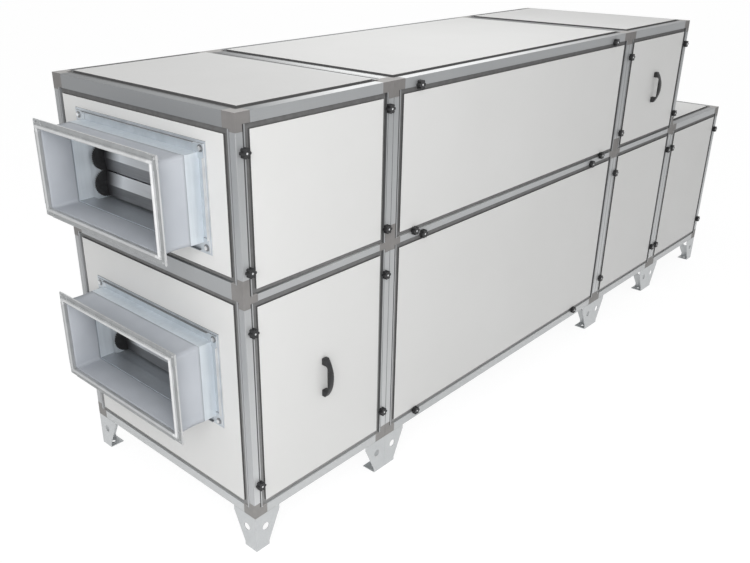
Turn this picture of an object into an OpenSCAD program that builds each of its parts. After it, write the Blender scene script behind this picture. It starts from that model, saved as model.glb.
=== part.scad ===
// Two-deck air handling unit: aluminium frames with plastic corner pieces, clamped sandwich
// panels, folded sheet feet, and flanged duct connectors with geared louvre dampers.
// Millimetres. +X runs along the unit from the damper end, +Y from the service side to the
// back, +Z up. The origin is on the floor under the middle of the whole unit.

/* [Unit] */
// Depth of the frame from the service side to the back
frame_w = 1000; // [860:5:1400]
// Length of section A, at the damper end
section_a_len = 702; // [560:1:1200]
// Length of section B, the long one
section_b_len = 1775; // [900:5:2500]
// Length of section C
section_c_len = 702; // [560:1:1200]
// Length of section D, which has one deck only
section_d_len = 695; // [560:1:1200]
// Height of the lower deck's frame
lower_deck_h = 862; // [780:1:1100]
// Height of the upper deck's frame, which stands on the lower deck
upper_deck_h = 566; // [520:1:900]
// Gap that is left between neighbouring sections
joint_gap = 0.5; // [0.2:0.1:0.8]

/* [Frame profile] */
// Face width of the square profile
profile_w = 36; // [30:1:45]
// Radius of the outer edge of the profile
edge_r = 2; // [1:0.5:5]
// Thickness of the fins that the panels rest on
fin_t = 3; // [2:0.5:5]
// Distance that the fins of the middle rails end short of the plastic pieces
fin_end = 2; // [1:0.5:6]
// Width of the slot in each outer face of a post
slot_w = 3; // [2:0.5:4]
// Depth of that slot
slot_depth = 4; // [2:0.5:6]
// Width of the lip between the slot and the edge of the face
lip_w = 6; // [4:0.5:9]
// Face height of the middle rails on the long sides
mid_rail_h = 26; // [20:1:30]
// Face height of the middle rails on the ends
end_rail_h = 58; // [50:1:80]
// Face height of the top rails on the ends of the upper deck
end_top_h = 50; // [40:1:56]
// Reach of the plastic pieces above and below the deck joint
mid_piece_reach = 50; // [45:1:70]

/* [Panels] */
// Thickness of a panel
panel_t = 30; // [22:1:32]
// Gap between a profile and the panel beside it
panel_gap = 18; // [12:1:22]
// Lap of a panel over the fins behind its edges
panel_lap = 4; // [2:1:8]
// Rise of the roof panels above the top of the frame
roof_rise = 5; // [0:0.5:12]
// Depth of the seals below the face of the panels
seal_recess = 8; // [5:0.5:14]
// Depth of the roof seals below the top of the frame
roof_seal_recess = 3; // [2:0.5:14]
// Slit between a seal and the profile beside it
seal_slit = 2; // [0.5:0.5:4]

/* [Knobs and handles] */
// Diameter over the lobes of a knob
knob_d = 34; // [26:1:40]
// Height of a knob above the panels
knob_h = 17; // [12:1:26]
// Number of lobes on a knob
knob_lobes = 6; // [5:1:8]
// Distance of the axes of the knobs on the posts from the ends of their section
knob_inset = 27; // [18:1:30]
// Height of the axes of the knobs on the rails above the edge of the rail
knob_rise = 5; // [0:1:8]
// Distance of the knobs on the long panel from the left end of its section, upper deck
long_knob_left_upper = 135; // [90:1:300]
// Distance of the knobs on the long panel from the right end of its section, upper deck
long_knob_right_upper = 162; // [90:1:300]
// Distance of the knobs on the long panel from the left end of its section, lower deck
long_knob_left_lower = 188; // [90:1:300]
// Distance of the knobs on the long panel from the right end of its section, lower deck
long_knob_right_lower = 250; // [90:1:300]
// Distance of the knobs on the short panels from the panel's corners, upper deck
short_knob_end_upper = 65; // [40:1:120]
// The same at the right edge of upper section A, where they stand nearer to the corners
near_knob_end_upper = 36; // [24:1:120]
// Distance of the knobs on the short panels from the panel's corners, lower deck
short_knob_end_lower = 81; // [40:1:160]
// Overall length of a bow handle
handle_len = 155; // [120:1:200]
// Reach of a handle out from its panel
handle_reach = 40; // [34:1:60]
// Width of a handle
handle_w = 24; // [18:1:32]
// Thickness of a handle's bar at its middle
handle_bar = 13; // [8:1:16]
// Length of a handle's feet on the panel
handle_foot = 27; // [20:1:34]
// Reach of a handle at its ends
handle_end = 15; // [8:1:20]
// Radius of the inner corners of a handle
handle_inner_r = 9; // [4:1:14]

/* [Feet] */
// Height of the feet
foot_h = 147; // [100:1:250]
// Width of a foot's plates where they meet the frame
foot_top_w = 116; // [90:1:150]
// Width of a foot's plates at the floor
foot_bottom_w = 62; // [50:1:80]
// Height of the straight stretch at each end of the taper
foot_straight = 16; // [8:1:24]
// Sheet thickness of the feet
foot_t = 3; // [2:0.5:5]
// Diameter of the hole in each upright plate
foot_hole_d = 29; // [16:1:32]
// Distance of that hole from the corner of the foot
foot_hole_inset = 48; // [36:1:54]
// Diameter of the anchor hole in the sole
anchor_hole_d = 14; // [9:1:18]

/* [Duct connectors] */
// Clear width of the ducts
duct_w = 645; // [400:5:700]
// Sheet thickness of the ducts, the stubs and the damper casings
duct_wall = 3; // [2:0.5:4]
// Clearance of a duct or casing in the cut-out of its panel
cut_clear = 0.5; // [0.3:0.1:0.8]
// Reach of a connector out from the end of the unit
duct_reach = 180; // [150:1:300]
// Reach of the metal stub that carries the sleeve
stub_reach = 55; // [40:1:70]
// Height of the lower ducts' axis above the underside of the frame
lower_duct_z = 500; // [300:1:540]
// Height of the upper ducts' axis above the middle of the end panels there
upper_duct_rise = 7; // [0:1:20]
// Depth of the turned lips of the base flanges
base_lip = 14; // [10:1:20]
// Depth of the turned lips of the outer flanges
outer_lip = 6; // [4:0.5:7]
// Sheet thickness of the duct flanges
flange_sheet = 3; // [2:0.5:4]
// Depth of an outer flange's face behind its lip and bead
flange_step = 2; // [1:0.5:4]
// Width of the turned lips
flange_lip = 2; // [1.5:0.5:4]
// Width of the bead round the mouth of a duct
flange_bead = 11; // [8:0.5:14]
// Reach of the bead in front of the flange's lip
bead_rise = 8; // [5:0.5:12]
// Rim of the outer flanges around the duct
flange_rim = 30; // [26:1:40]
// Rim of the base flanges around the stub
base_rim = 38; // [34:1:42]
// Width of the flat border outside the lip of a base flange
base_border = 8; // [4:1:10]
// Length of the corner plates in the flanges
corner_plate = 46; // [40:1:60]
// Diameter of the corner bolt holes in the outer flanges
flange_hole_d = 9; // [6:0.5:12]

/* [Dampers] */
// Distance between neighbouring blade axes, which is the gears' pitch diameter too
blade_pitch = 98; // [80:1:110]
// Number of blades in a damper
blade_count = 3; // [2:1:3]
// Thickness of a blade at its ridge
blade_t = 16; // [10:1:24]
// Thickness of a blade at its edges
blade_edge_t = 3; // [2:0.5:5]
// Distance of the blades' axes behind the face of the end panel
blade_axis_depth = 62; // [58:1:90]
// Room that the moving pieces keep from what is around them
blade_clear = 5; // [4:0.5:8]
// Lap of the front edge of the casing over the damper's top and bottom
casing_lap = 12.5; // [4:0.5:16]
// Radius of the blades' pins
pin_r = 6; // [4:0.5:9]
// Radial clearance of the pins in the casing
pin_clear = 0.1; // [0.05:0.01:0.1]
// Number of teeth on a gear
gear_teeth = 40; // [24:2:48]
// Thickness of a gear, with its disc
gear_t = 10; // [6:1:16]
// Thickness of the plain disc on the blade's side of a gear
gear_disc_t = 3; // [2:0.5:4]
// Gap between the discs of neighbouring gears
gear_disc_gap = 1; // [0.6:0.1:3]

/* [Hidden] */
$fn = 48;

panel_white = [0.90, 0.90, 0.89];
profile_grey = [0.66, 0.67, 0.68];
plastic_grey = [0.52, 0.51, 0.50];
seal_grey = [0.36, 0.36, 0.36];
knob_black = [0.12, 0.12, 0.12];
zinc_grey = [0.76, 0.77, 0.78];
sleeve_grey = [0.62, 0.64, 0.68];
blade_grey = [0.58, 0.60, 0.62];

lengths = [section_a_len, section_b_len, section_c_len, section_d_len];
frame_h = lower_deck_h + upper_deck_h;
heights = [frame_h, frame_h, frame_h, lower_deck_h];
two_deck = [0, 1, 2];
long_section = 1;
last = len(lengths) - 1;
function start(i) = i == 0 ? 0 : start(i - 1) + lengths[i - 1] + joint_gap;
frame_len = start(last) + lengths[last];

post_core = profile_w - lip_w - slot_w;
margin = profile_w + panel_gap;
arm_len = margin + panel_lap;
mid_rail_z = lower_deck_h - profile_w;
mid_rail_top = mid_rail_z + mid_rail_h;
lower_panel_z = [margin, lower_deck_h - margin];
upper_panel_z = [mid_rail_top + panel_gap, frame_h - margin];
end_lower_panel_z = [margin, lower_deck_h - end_rail_h / 2 - panel_gap];
end_upper_panel_z = [lower_deck_h + end_rail_h / 2 + panel_gap, frame_h - end_top_h - panel_gap];
depth_span = [margin, frame_w - margin];
upper_duct_z = (end_upper_panel_z[0] + end_upper_panel_z[1]) / 2 + upper_duct_rise;

cut_edge = duct_wall + cut_clear;
tooth_h = floor(0.4 * PI * blade_pitch / gear_teeth);
gear_tip_r = blade_pitch / 2 + tooth_h / 2;
gear_root_r = blade_pitch / 2 - tooth_h / 2 - 0.8;
casing_h = blade_pitch * (blade_count - 1) + 2 * gear_tip_r + 2 * blade_clear;
casing_w = duct_w + 2 * blade_clear;
casing_len = blade_axis_depth + gear_tip_r + blade_clear;
duct_h = casing_h - 2 * casing_lap;
blade_chord = blade_pitch - blade_clear;
gear_face = casing_w / 2 - blade_clear - gear_t;
hub_face = gear_face - blade_clear;
hub_r = 2 * pin_r;
flange_face = bead_rise - duct_reach;
hole_spread = flange_rim + flange_bead - flange_lip;
flange_hole_pitch = [duct_w + hole_spread, duct_h + hole_spread];
flange_back = flange_step + 2 * flange_sheet;
fin_reach = panel_gap + panel_lap;

// The corner of the frame's underside, from the origin
module in_frame() {
    translate([-frame_len / 2, -(frame_w - handle_reach) / 2, foot_h]) children();
}

// The same thing on both long sides
module both_sides() {
    children();
    on_back() children();
}

// A thing at the far end of a stretch along X, and at both ends
module at_far_end(length) {
    translate([length, 0, 0]) mirror([1, 0, 0]) children();
}
module both_ends(length) {
    children();
    at_far_end(length) children();
}

// A thing at the top of a stretch along Z, and at the top and the bottom
module at_top(height) {
    translate([0, 0, height]) mirror([0, 0, 1]) children();
}
module both_levels(height) {
    children();
    at_top(height) children();
}

// Faces of the unit: what they place is drawn across X and Z, with its depth along Y
module on_back() {
    translate([0, frame_w, 0]) mirror([0, 1, 0]) children();
}
module on_left_end() {
    mirror([1, -1, 0]) children();
}
module on_right_end(length) {
    translate([length, 0, 0]) mirror([1, 0, 0]) on_left_end() children();
}
module on_roof(height) {
    translate([0, 0, height]) rotate([-90, 0, 0]) children();
}
module on_base() {
    mirror([0, 0, 1]) rotate([-90, 0, 0]) children();
}

// Half of a profile's outline: one outer face, with its slot, and the fin behind the panel there
function face_points() = [
    [0, 0],
    [post_core, 0],
    [post_core, slot_depth],
    [post_core + slot_w, slot_depth],
    [post_core + slot_w, 0],
    [profile_w, 0]
];
function fin_points() = [
    [profile_w, panel_t],
    [arm_len, panel_t],
    [arm_len, panel_t + fin_t],
    [profile_w, panel_t + fin_t]
];
function swapped(points) = [for (i = [len(points) - 1 : -1 : 0]) [points[i][1], points[i][0]]];

module round_edge() {
    difference() {
        children();
        difference() {
            translate([-1, -1]) square(edge_r + 1);
            translate([edge_r, edge_r]) circle(r = edge_r);
        }
    }
}

module post_profile() {
    half = concat(face_points(), fin_points());
    round_edge() polygon(concat(half, [[profile_w, profile_w]], swapped(half)));
}

module edge_profile() {
    half = concat([[0, 0], [profile_w, 0]], fin_points());
    round_edge() polygon(concat(half, [[profile_w, profile_w]], swapped(half)));
}

// A flat rail with a fin above and below it, for the panels of both decks
module mid_rail(length, height) {
    linear_extrude(length) square([profile_w, height]);
    translate([panel_t, -fin_reach, fin_end])
        linear_extrude(length - 2 * fin_end) square([fin_t, height + 2 * fin_reach]);
}

// A high rail along the top of an end, with fins for the roof panel and the end panel
module end_top_rail(length) {
    linear_extrude(length) round_edge() square([profile_w, end_top_h]);
    translate([profile_w, panel_t, 0]) linear_extrude(length) square([fin_reach, fin_t]);
    translate([panel_t, end_top_h, fin_end])
        linear_extrude(length - 2 * fin_end) square([fin_t, fin_reach]);
}

// Posts between two levels, at the four corners of a section; their lips run on past the plastic
// pieces to the rails
module posts(length, z, front_lip_z, end_lip_z) {
    both_sides() both_ends(length) {
        translate([0, 0, z[0]]) linear_extrude(z[1] - z[0]) post_profile();
        translate([post_core + slot_w, 0, front_lip_z[0]])
            cube([lip_w, post_core, front_lip_z[1] - front_lip_z[0]]);
        translate([0, post_core + slot_w, end_lip_z[0]])
            cube([post_core, lip_w, end_lip_z[1] - end_lip_z[0]]);
    }
}

// Rails along X at the four edges of a section's height
module long_rails(length, height) {
    both_sides() both_levels(height)
        translate([arm_len, 0, 0]) rotate([90, 0, 90]) linear_extrude(length - 2 * arm_len) edge_profile();
}

// Which ends of a section are ends of the upper deck
function has_end(i) = [i == 0, i == last - 1];

// Rails along Y at the four edges of a section's height
module along_depth() {
    translate([0, arm_len, 0]) mirror([0, 0, 1]) rotate([-90, 0, 0]) children();
}
module cross_rail(high) {
    along_depth()
        if (high) end_top_rail(frame_w - 2 * arm_len);
        else linear_extrude(frame_w - 2 * arm_len) edge_profile();
}
module cross_rails(length, height, high) {
    both_ends(length) cross_rail(false);
    at_top(height) cross_rail(high[0]);
    at_far_end(length) at_top(height) cross_rail(high[1]);
}

// Middle rails along X, between the decks on both long sides
module mid_long_rails(length) {
    both_sides() translate([arm_len, 0, mid_rail_z])
        rotate([90, 0, 90]) mid_rail(length - 2 * arm_len, mid_rail_h);
}

// Middle rail along Y, between the decks on the end at x = 0
module mid_end_rail() {
    translate([0, 0, lower_deck_h - end_rail_h / 2]) along_depth()
        mid_rail(frame_w - 2 * arm_len, end_rail_h);
}

module section_frame(i) {
    color(profile_grey) in_frame() translate([start(i), 0, 0]) {
        long_rails(lengths[i], heights[i]);
        cross_rails(lengths[i], heights[i], has_end(i));
        if (heights[i] > lower_deck_h) {
            posts(lengths[i], [arm_len, lower_deck_h - mid_piece_reach],
                  [profile_w, mid_rail_z], [profile_w, lower_deck_h - end_rail_h / 2]);
            posts(lengths[i], [lower_deck_h + mid_piece_reach, frame_h - arm_len],
                  [mid_rail_top, frame_h - profile_w], [lower_deck_h + end_rail_h / 2, frame_h - end_top_h]);
            mid_long_rails(lengths[i]);
        } else {
            lip_z = [profile_w, lower_deck_h - profile_w];
            posts(lengths[i], [arm_len, lower_deck_h - arm_len], lip_z, lip_z);
        }
        if (has_end(i)[0]) mid_end_rail();
        if (has_end(i)[1]) at_far_end(lengths[i]) mid_end_rail();
    }
}

// Plastic piece that joins the three profiles at a corner, one of which may be a high rail
module corner_piece(high = false) {
    cube([arm_len, profile_w, profile_w]);
    cube([profile_w, arm_len, profile_w]);
    cube([post_core, post_core, arm_len]);
    if (high) translate([0, post_core, 0]) cube([profile_w, arm_len - post_core, end_top_h]);
}

// Plastic piece that joins the posts of both decks and the middle rails there
module mid_piece(with_end_arm) {
    translate([0, 0, lower_deck_h - mid_piece_reach])
        cube([post_core, post_core, 2 * mid_piece_reach]);
    translate([post_core, 0, mid_rail_z]) cube([arm_len - post_core, profile_w, mid_rail_h]);
    if (with_end_arm)
        translate([0, post_core, lower_deck_h - end_rail_h / 2])
            cube([profile_w, arm_len - post_core, end_rail_h]);
}

module corner_pieces() {
    color(plastic_grey) in_frame() {
        for (i = [0 : last])
            translate([start(i), 0, 0]) both_sides() {
                both_ends(lengths[i]) corner_piece();
                at_top(heights[i]) corner_piece(has_end(i)[0]);
                at_far_end(lengths[i]) at_top(heights[i]) corner_piece(has_end(i)[1]);
            }
        for (i = two_deck)
            translate([start(i), 0, 0]) both_sides() {
                mid_piece(has_end(i)[0]);
                at_far_end(lengths[i]) mid_piece(has_end(i)[1]);
            }
    }
}

// Panel and seal of an opening that spans u along X and v along Z, seen from its face
module panel(u, v, recess = 0) {
    translate([u[0], recess, v[0]]) cube([u[1] - u[0], panel_t - recess, v[1] - v[0]]);
}

module seal(u, v, recess = seal_recess) {
    seal_w = panel_gap - seal_slit;
    depth = panel_t - recess;
    translate([0, recess, 0]) difference() {
        translate([u[0] - seal_w, 0, v[0] - seal_w])
            cube([u[1] - u[0] + 2 * seal_w, depth, v[1] - v[0] + 2 * seal_w]);
        translate([u[0], -1, v[0]]) cube([u[1] - u[0], depth + 2, v[1] - v[0]]);
    }
}

function length_span(i) = [start(i) + margin, start(i) + lengths[i] - margin];

module front_panel_lower(i) {
    color(panel_white) in_frame() panel(length_span(i), lower_panel_z);
}

module front_panel_upper(i) {
    color(panel_white) in_frame() panel(length_span(i), upper_panel_z);
}

module back_panels() {
    color(panel_white) in_frame() on_back() {
        for (i = [0 : last]) panel(length_span(i), lower_panel_z);
        for (i = two_deck) panel(length_span(i), upper_panel_z);
    }
}

module roof_panels() {
    color(panel_white) in_frame()
        for (i = [0 : last]) on_roof(heights[i]) panel(length_span(i), depth_span, -roof_rise);
}

module base_panels() {
    color(zinc_grey) in_frame()
        for (i = [0 : last]) on_base() panel(length_span(i), depth_span);
}

module long_side_seals() {
    for (i = [0 : last]) seal(length_span(i), lower_panel_z);
    for (i = two_deck) seal(length_span(i), upper_panel_z);
}

module front_seals() {
    color(seal_grey) in_frame() long_side_seals();
}

module back_seals() {
    color(seal_grey) in_frame() on_back() long_side_seals();
}

module roof_seals() {
    color(seal_grey) in_frame()
        for (i = [0 : last]) on_roof(heights[i]) seal(length_span(i), depth_span, roof_seal_recess);
}

module end_seals() {
    color(seal_grey) in_frame() {
        on_left_end() seal(depth_span, end_lower_panel_z);
        on_left_end() seal(depth_span, end_upper_panel_z);
        on_right_end(frame_len) seal(depth_span, lower_panel_z);
        on_right_end(start(last) - joint_gap) seal(depth_span, end_upper_panel_z);
    }
}

// Box around a duct's axis, from one depth to another behind the end of the unit
module duct_box(width, height, z, depth) {
    translate([(frame_w - width) / 2, depth[0], z - height / 2])
        cube([width, depth[1] - depth[0], height]);
}

module left_end_panel(v, z) {
    color(panel_white) in_frame() on_left_end() difference() {
        panel(depth_span, v);
        duct_box(casing_w + 2 * cut_edge, casing_h + 2 * cut_edge, z, [-1, panel_t + 1]);
    }
}

module right_end_panel(length, v, z) {
    color(panel_white) in_frame() on_right_end(length) difference() {
        panel(depth_span, v);
        duct_box(duct_w + 2 * cut_edge, duct_h + 2 * cut_edge, z, [-1, panel_t + 1]);
    }
}

// Lobed clamping knob, which stands on the face y = 0
module knob() {
    lobe_r = knob_d * 0.16;
    rotate([90, 0, 0]) linear_extrude(knob_h) union() {
        circle(r = knob_d / 2 - lobe_r);
        for (k = [0 : knob_lobes - 1])
            rotate(360 * k / knob_lobes) translate([knob_d / 2 - lobe_r, 0]) circle(r = lobe_r);
    }
}

// Knobs at some heights on one post, or at both heights of the rails at one place
module knob_row(x, heights_z) {
    for (z = heights_z) translate([x, 0, z]) knob();
}

// Short panels have their knobs on the posts: inset from the section's ends, near the panel's corners
module post_knobs(i, v, left_end, right_end) {
    knob_row(start(i) + knob_inset, [v[0] + left_end, v[1] - left_end]);
    knob_row(start(i) + lengths[i] - knob_inset, [v[0] + right_end, v[1] - right_end]);
}

// The long panel has them on the rails below and above it
module rail_knobs(rail_z, left, right) {
    knob_row(start(long_section) + left, rail_z);
    knob_row(start(long_section) + lengths[long_section] - right, rail_z);
}

module knobs_lower() {
    color(knob_black) in_frame() {
        for (i = [0, last - 1, last])
            post_knobs(i, lower_panel_z, short_knob_end_lower, short_knob_end_lower);
        rail_knobs([profile_w + knob_rise, mid_rail_z + knob_rise],
                   long_knob_left_lower, long_knob_right_lower);
    }
}

module knobs_upper() {
    color(knob_black) in_frame() {
        post_knobs(0, upper_panel_z, short_knob_end_upper, near_knob_end_upper);
        post_knobs(last - 1, upper_panel_z, short_knob_end_upper, short_knob_end_upper);
        rail_knobs([mid_rail_top + knob_rise, frame_h - profile_w + knob_rise],
                   long_knob_left_upper, long_knob_right_upper);
    }
}

// Bow handle that stands upright on the face y = 0, centred on its panel. Its side view has the
// panel along X and the reach along Y
module handle_side() {
    rise = handle_reach - handle_end;
    bow_r = (pow(handle_len / 2, 2) + rise * rise) / (2 * rise);
    gap_w = handle_len - 2 * handle_foot;
    gap_h = handle_reach - handle_bar;
    difference() {
        intersection() {
            translate([-handle_len / 2, 0]) square([handle_len, handle_reach]);
            translate([0, handle_reach - bow_r]) circle(r = bow_r, $fn = 120);
        }
        translate([-gap_w / 2, -1]) square([gap_w, gap_h - handle_inner_r + 1]);
        translate([handle_inner_r - gap_w / 2, -1]) square([gap_w - 2 * handle_inner_r, gap_h + 1]);
        for (side = [-1, 1])
            translate([side * (gap_w / 2 - handle_inner_r), gap_h - handle_inner_r])
                circle(r = handle_inner_r);
    }
}

module handle() {
    translate([-handle_w / 2, 0, 0]) rotate([0, 90, 0]) mirror([0, 1, 0])
        linear_extrude(handle_w) handle_side();
}

function middle(span) = (span[0] + span[1]) / 2;

module handles() {
    color(knob_black) in_frame() {
        translate([middle(length_span(0)), 0, middle(lower_panel_z)]) handle();
        translate([middle(length_span(last - 1)), 0, middle(upper_panel_z)]) handle();
    }
}

// Outline of an upright foot plate, from its corner edge outwards, with the frame at z = 0
module foot_outline() {
    difference() {
        polygon([
            [0, 0],
            [foot_top_w, 0],
            [foot_top_w, -foot_straight],
            [foot_bottom_w, foot_straight - foot_h],
            [foot_bottom_w, -foot_h],
            [0, -foot_h]
        ]);
        translate([foot_hole_inset, -foot_top_w / 2]) circle(d = foot_hole_d);
    }
}

// Folded foot under a corner: two upright plates, a top plate under the frame and a sole
module foot() {
    translate([0, foot_t, 0]) rotate([90, 0, 0]) linear_extrude(foot_t) foot_outline();
    rotate([90, 0, 90]) linear_extrude(foot_t) foot_outline();
    translate([0, 0, -foot_t]) cube([foot_top_w, foot_top_w, foot_t]);
    translate([0, 0, -foot_h]) difference() {
        cube([foot_bottom_w, foot_bottom_w, foot_t]);
        translate([foot_bottom_w / 2, foot_bottom_w / 2, -1])
            cylinder(d = anchor_hole_d, h = foot_t + 2);
    }
}

module front_feet() {
    for (i = [0 : last]) translate([start(i), 0, 0]) both_ends(lengths[i]) foot();
}

module feet_front() {
    color(zinc_grey) in_frame() front_feet();
}

module feet_back() {
    color(zinc_grey) in_frame() on_back() front_feet();
}

// Rectangular ring around a duct's axis, with an outer rim beyond a clear opening
module duct_ring(width, height, rim, z, depth) {
    difference() {
        duct_box(width + 2 * rim, height + 2 * rim, z, depth);
        duct_box(width, height, z, [depth[0] - 1, depth[1] + 1]);
    }
}

// Blocks of a given size at the corners of a ring
module corner_blocks(width, height, rim, z, size) {
    far = [(width - size) / 2 + rim, (height - size) / 2 + rim];
    for (u = [-1, 1], v = [-1, 1])
        translate([u * far[0], 0, v * far[1]]) duct_box(size, size, z, [-2 * duct_reach, duct_reach]);
}

// Plates in the corners of a flange
module corner_plates(width, height, rim, z, depth) {
    intersection() {
        duct_ring(width, height, rim, z, depth);
        corner_blocks(width, height, rim, z, corner_plate);
    }
}

// Turned lip of a flange, which ends just past the ends of the corner plates
module flange_lips(width, height, rim, z, depth) {
    inner = 2 * (rim - flange_lip);
    difference() {
        duct_ring(width + inner, height + inner, flange_lip, z, depth);
        corner_blocks(width, height, rim, z, corner_plate - 2 * flange_lip);
    }
}

// Base flange: a flat border on the panel, a lip turned out from it, and plates in the corners
module base_flange(z) {
    width = duct_w + 2 * duct_wall;
    height = duct_h + 2 * duct_wall;
    lip_rim = base_rim - base_border;
    duct_ring(width, height, base_rim, z, [-flange_sheet, 0]);
    flange_lips(width, height, lip_rim, z, [-base_lip, -flange_sheet]);
    corner_plates(width, height, lip_rim, z, [-2 * flange_sheet, -flange_sheet]);
}

module sleeve(z) {
    duct_ring(duct_w, duct_h, duct_wall, z, [flange_face + flange_back, -stub_reach]);
}

// Bead round the mouth of a duct: bars with a rounded front, the level ones from side to side
module bead_profile() {
    half = flange_bead / 2;
    turn = flange_bead / 3;
    back = flange_face + flange_back;
    polygon([
        [-half, back],
        [-half, turn - duct_reach],
        [turn - half, -duct_reach],
        [half - turn, -duct_reach],
        [half, turn - duct_reach],
        [half, back]
    ]);
}

module mouth_bead(z) {
    translate([frame_w / 2, 0, z])
        for (side = [-1, 1]) {
            translate([0, 0, side * (duct_h + flange_bead) / 2]) rotate([0, 90, 0])
                linear_extrude(duct_w + 2 * flange_bead, center = true) bead_profile();
            translate([side * (duct_w + flange_bead) / 2, 0, 0])
                linear_extrude(duct_h + flange_bead, center = true) bead_profile();
        }
}

// Outer flange: the bead, a face with a lip at its edge, and plates with bolt holes in the corners
module outer_flange(z) {
    web = flange_face + flange_step;
    difference() {
        union() {
            mouth_bead(z);
            duct_ring(duct_w, duct_h, flange_rim, z, [web, web + flange_sheet]);
            flange_lips(duct_w, duct_h, flange_rim, z, [flange_face, flange_face + outer_lip]);
            corner_plates(duct_w, duct_h, flange_rim - flange_lip, z,
                          [flange_face, flange_face + flange_back]);
        }
        for (u = [-1, 1], v = [-1, 1])
            translate([frame_w / 2 + u * flange_hole_pitch[0] / 2, flange_face - 1,
                       z + v * flange_hole_pitch[1] / 2])
                rotate([-90, 0, 0]) cylinder(d = flange_hole_d, h = flange_back + 2);
    }
}

// Plain stub through an end panel
module stub(z) {
    duct_ring(duct_w, duct_h, duct_wall, z, [-stub_reach, panel_t]);
}

// Damper casing: the stub in front, and a wider box behind it that holds the blades
module damper_casing(z) {
    color(zinc_grey) in_frame() on_left_end() difference() {
        union() {
            duct_box(duct_w + 2 * duct_wall, duct_h + 2 * duct_wall, z, [-stub_reach, duct_wall]);
            duct_box(casing_w + 2 * duct_wall, casing_h + 2 * duct_wall, z, [0, casing_len]);
        }
        duct_box(duct_w, duct_h, z, [-stub_reach - 1, duct_wall + 1]);
        duct_box(casing_w, casing_h, z, [duct_wall, casing_len + 1]);
        for (k = [0 : blade_count - 1])
            blade_axis(z, k) translate([0, 0, -frame_w / 2])
                cylinder(r = pin_r + pin_clear, h = frame_w);
    }
}

// Axis of blade k of a damper: Z runs along the unit's depth, Y runs up the closed blade
function blade_z(z, k) = z + blade_pitch * (k - (blade_count - 1) / 2);
module blade_axis(z, k) {
    translate([frame_w / 2, blade_axis_depth, blade_z(z, k)]) rotate([0, 90, 0]) rotate([0, 0, 90])
        children();
}

// Louvre blade with a ridge on both faces, and the pin at its plain end
module damper_blade(z, k) {
    half_edge = blade_edge_t / 2;
    half_chord = blade_chord / 2;
    far_face = casing_w / 2 - blade_clear;
    color(blade_grey) in_frame() on_left_end() blade_axis(z, k) {
        translate([0, 0, -far_face]) linear_extrude(far_face + hub_face) polygon([
            [-half_edge, -half_chord],
            [half_edge, -half_chord],
            [blade_t / 2, 0],
            [half_edge, half_chord],
            [-half_edge, half_chord],
            [-blade_t / 2, 0]
        ]);
        translate([0, 0, -casing_w / 2 - duct_wall])
            cylinder(r = pin_r, h = blade_clear + duct_wall + 1);
    }
}

// Points of gear tooth t, a trapezoid between the root and the tip circle
function tooth_points(t, phase) = [
    for (p = [[-0.36, gear_root_r], [-0.13, gear_tip_r], [0.13, gear_tip_r], [0.36, gear_root_r]])
        let (a = 360 / gear_teeth * (t + phase + p[0])) p[1] * [cos(a), sin(a)]
];

// Gear at the far end of blade k, in mesh with its neighbours, with a disc, a hub and a pin
module damper_gear(z, k) {
    phase = k % 2 == 0 ? 0 : 0.5;
    color(knob_black) in_frame() on_left_end() blade_axis(z, k) {
        translate([0, 0, gear_face]) cylinder(r = (blade_pitch - gear_disc_gap) / 2, h = gear_disc_t);
        translate([0, 0, gear_face + gear_disc_t]) linear_extrude(gear_t - gear_disc_t)
            polygon([for (t = [0 : gear_teeth - 1]) each tooth_points(t, phase)]);
        translate([0, 0, hub_face]) cylinder(r = hub_r, h = blade_clear);
        translate([0, 0, gear_face]) cylinder(r = pin_r, h = gear_t + blade_clear + duct_wall);
    }
}

// Connectors at the far end of each deck
module at_right_ends() {
    on_right_end(frame_len) children(0);
    on_right_end(start(last) - joint_gap) children(1);
}

module right_flanges() {
    color(zinc_grey) in_frame() {
        at_right_ends() { base_flange(lower_duct_z); base_flange(upper_duct_z); }
        at_right_ends() { outer_flange(lower_duct_z); outer_flange(upper_duct_z); }
    }
}

module right_stubs() {
    color(zinc_grey) in_frame() at_right_ends() { stub(lower_duct_z); stub(upper_duct_z); }
}

module right_sleeves() {
    color(sleeve_grey) in_frame() at_right_ends() { sleeve(lower_duct_z); sleeve(upper_duct_z); }
}

// Connector pieces at the damper end
module left_base_flange(z) {
    color(zinc_grey) in_frame() on_left_end() base_flange(z);
}

module left_sleeve(z) {
    color(sleeve_grey) in_frame() on_left_end() sleeve(z);
}

module left_duct_flange(z) {
    color(zinc_grey) in_frame() on_left_end() outer_flange(z);
}

section_frame(0);  // frame_a
section_frame(1);  // frame_b
section_frame(2);  // frame_c
section_frame(3);  // frame_d
corner_pieces();
front_panel_lower(0);  // front_panel_lower_a
front_panel_lower(1);  // front_panel_lower_b
front_panel_lower(2);  // front_panel_lower_c
front_panel_lower(3);  // front_panel_lower_d
front_panel_upper(0);  // front_panel_upper_a
front_panel_upper(1);  // front_panel_upper_b
front_panel_upper(2);  // front_panel_upper_c
back_panels();
roof_panels();
base_panels();
left_end_panel(end_lower_panel_z, lower_duct_z);  // left_end_panel_lower
left_end_panel(end_upper_panel_z, upper_duct_z);  // left_end_panel_upper
right_end_panel(frame_len, lower_panel_z, lower_duct_z);  // right_end_panel_lower
right_end_panel(start(last) - joint_gap, end_upper_panel_z, upper_duct_z);  // right_end_panel_upper
front_seals();
back_seals();
roof_seals();
end_seals();
knobs_lower();
knobs_upper();
handles();
feet_front();
feet_back();
left_base_flange(lower_duct_z);  // lower_base_flange
damper_casing(lower_duct_z);  // lower_damper_casing
left_sleeve(lower_duct_z);  // lower_sleeve
left_duct_flange(lower_duct_z);  // lower_duct_flange
damper_blade(lower_duct_z, 0);  // lower_blade_1
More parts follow.
